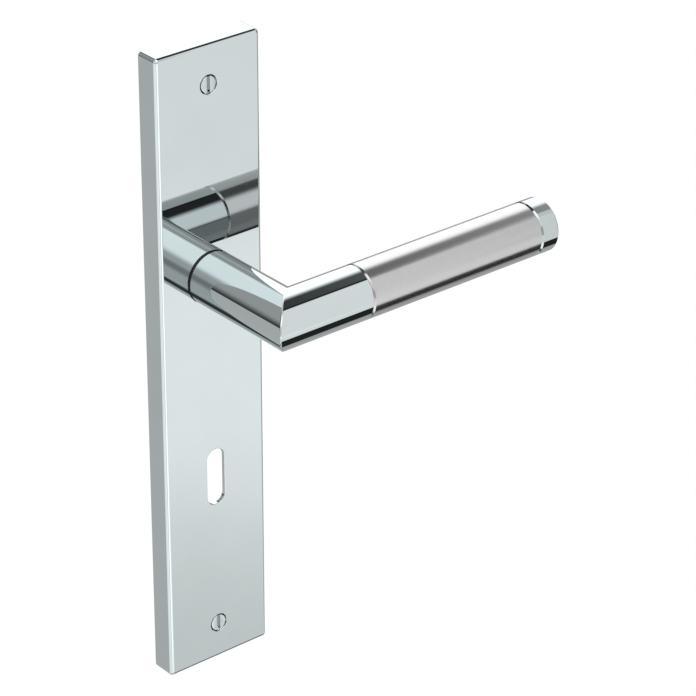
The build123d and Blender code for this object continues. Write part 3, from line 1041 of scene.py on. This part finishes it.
class HANDLE_OT_stage(bpy.types.Operator):
    """Set up the pale floor, the studio and the camera"""

    bl_idname = "handle.stage"
    bl_label = "Stage"

    def execute(self, context):
        stage = context.scene.door_handle.stage
        context.scene.view_settings.view_transform = "Standard"
        self.camera(context.scene, stage)
        self.floor(context.scene, stage)
        context.scene.world = studio_world()
        return {"FINISHED"}

    def camera(self, scene, stage):
        """A camera at the photograph's place."""
        across, up = stage.azimuth, stage.elevation
        back = Vector((sin(across) * cos(up), -cos(across) * cos(up), sin(up)))
        data = bpy.data.cameras.new("camera")
        data.lens = stage.lens
        camera = bpy.data.objects.new("camera", data)
        camera.location = stage.place
        camera.rotation_mode = "QUATERNION"
        roll = Quaternion((0.0, 0.0, 1.0), stage.roll)
        camera.rotation_quaternion = back.to_track_quat("Z", "Y") @ roll
        scene.collection.objects.link(camera)
        scene.camera = camera

    def floor(self, scene, stage):
        """A pale floor far below, white where it is seen, out of the metal's reflections."""
        bm = bmesh.new()
        bmesh.ops.create_grid(bm, x_segments=1, y_segments=1, size=stage.floor_size / 2)
        bmesh.ops.translate(bm, vec=(0.0, 0.0, -stage.floor_drop), verts=bm.verts)
        floor = new_object("floor", bm)
        finish = Finish("pale_floor", stage.floor_colour, metallic=0.0, roughness=stage.floor_roughness)
        shown = seen_directly(finish.tree, finish.shader, add(finish.tree, "ShaderNodeEmission", {}))
        finish.tree.links.new(shown.outputs[0], finish.tree.nodes["Material Output"].inputs["Surface"])
        floor.data.materials.append(finish.material)
        floor.visible_glossy = False


def studio_world():
    """A studio of soft cards round the handle, with a white background behind it."""
    world = bpy.data.worlds.new("Studio")
    world.use_nodes = True
    tree = world.node_tree
    tree.nodes.clear()

    def math(operation, *values):
        """An operation in the studio's own tree."""
        return math_node(tree, operation, *values)

    def rise(scale, edge, soft):
        """From 0 to 1 across a soft edge."""
        ends = {"From Min": edge - soft, "From Max": edge + soft}
        return add(tree, "ShaderNodeMapRange", {"Value": scale, **ends}, interpolation_type="SMOOTHSTEP")

    def within(scale, low, high, soft_low, soft_high):
        """1 between two edges and 0 outside them."""
        return math("SUBTRACT", rise(scale, low, soft_low), rise(scale, high, soft_high))

    direction = add(tree, "ShaderNodeTexCoord", {}).outputs["Generated"]
    x, y, z = add(tree, "ShaderNodeSeparateXYZ", {0: direction}).outputs
    steep = math("MAXIMUM", math("ABSOLUTE", z), LEAST_STEEP)
    scales = {
        "across": math("DEGREES", math("ARCTAN2", x, math("MULTIPLY", y, -1.0))),
        "up": math("DEGREES", math("ARCSINE", z)),
        "side": x,
        "plan_x": math("DIVIDE", x, steep),
        "plan_y": math("DIVIDE", y, steep),
    }
    strength = STUDIO_BASE
    for card in STUDIO:
        mask = 1.0
        for scale, direction_on in scales.items():
            limit = getattr(card, scale)
            if limit:
                mask = math("MULTIPLY", mask, within(direction_on, *limit))
        kept = math("MULTIPLY", math("SUBTRACT", 1.0, mask), strength)
        strength = math("MULTIPLY_ADD", mask, card.strength, kept)
    studio = add(tree, "ShaderNodeBackground", {"Color": WHITE, "Strength": strength})
    white = add(tree, "ShaderNodeBackground", {"Color": WHITE})
    add(tree, "ShaderNodeOutputWorld", {"Surface": seen_directly(tree, studio, white)})
    return world


class HANDLE_PT_sidebar(bpy.types.Panel):
    """Lists the handle's pieces and sizes."""

    bl_idname = "HANDLE_PT_sidebar"
    bl_label = "Door Handle"
    bl_space_type = "VIEW_3D"
    bl_region_type = "UI"
    bl_category = "Door Handle"

    def draw(self, context):
        settings = context.scene.door_handle
        for operator in OPERATORS:
            self.layout.operator(operator.bl_idname)
        for part in ("plate", "lever", "screws", "spring", "finishes", "stage"):
            sizes = getattr(settings, part)
            box = self.layout.box()
            box.label(text=part.capitalize())
            for name in type(sizes).__annotations__:
                box.prop(sizes, name)


GROUPS = (PlateSizes, LeverSizes, ScrewSizes, SpringSizes, Finishes, StageSizes, HandleSettings)
OPERATORS = (
    HANDLE_OT_stage,
    HANDLE_OT_cover_plate,
    HANDLE_OT_fixing_screws,
    HANDLE_OT_lever_elbow,
    HANDLE_OT_grip_sleeve,
    HANDLE_OT_end_cap,
    HANDLE_OT_return_spring,
    HANDLE_OT_inner_parts,
)


def register():
    for item in (*GROUPS, *OPERATORS, HANDLE_PT_sidebar):
        bpy.utils.register_class(item)
    bpy.types.Scene.door_handle = bpy.props.PointerProperty(type=HandleSettings)


def unregister():
    del bpy.types.Scene.door_handle
    for item in reversed((*GROUPS, *OPERATORS, HANDLE_PT_sidebar)):
        bpy.utils.unregister_class(item)


def main():
    """Builds the stage and the handle."""
    register()
    bpy.ops.handle.stage()
    bpy.ops.handle.cover_plate()
    bpy.ops.handle.fixing_screws()
    bpy.ops.handle.lever_elbow()
    bpy.ops.handle.grip_sleeve()
    bpy.ops.handle.end_cap()
    bpy.ops.handle.return_spring()
    bpy.ops.handle.inner_parts()


if __name__ == "__main__":
    main()
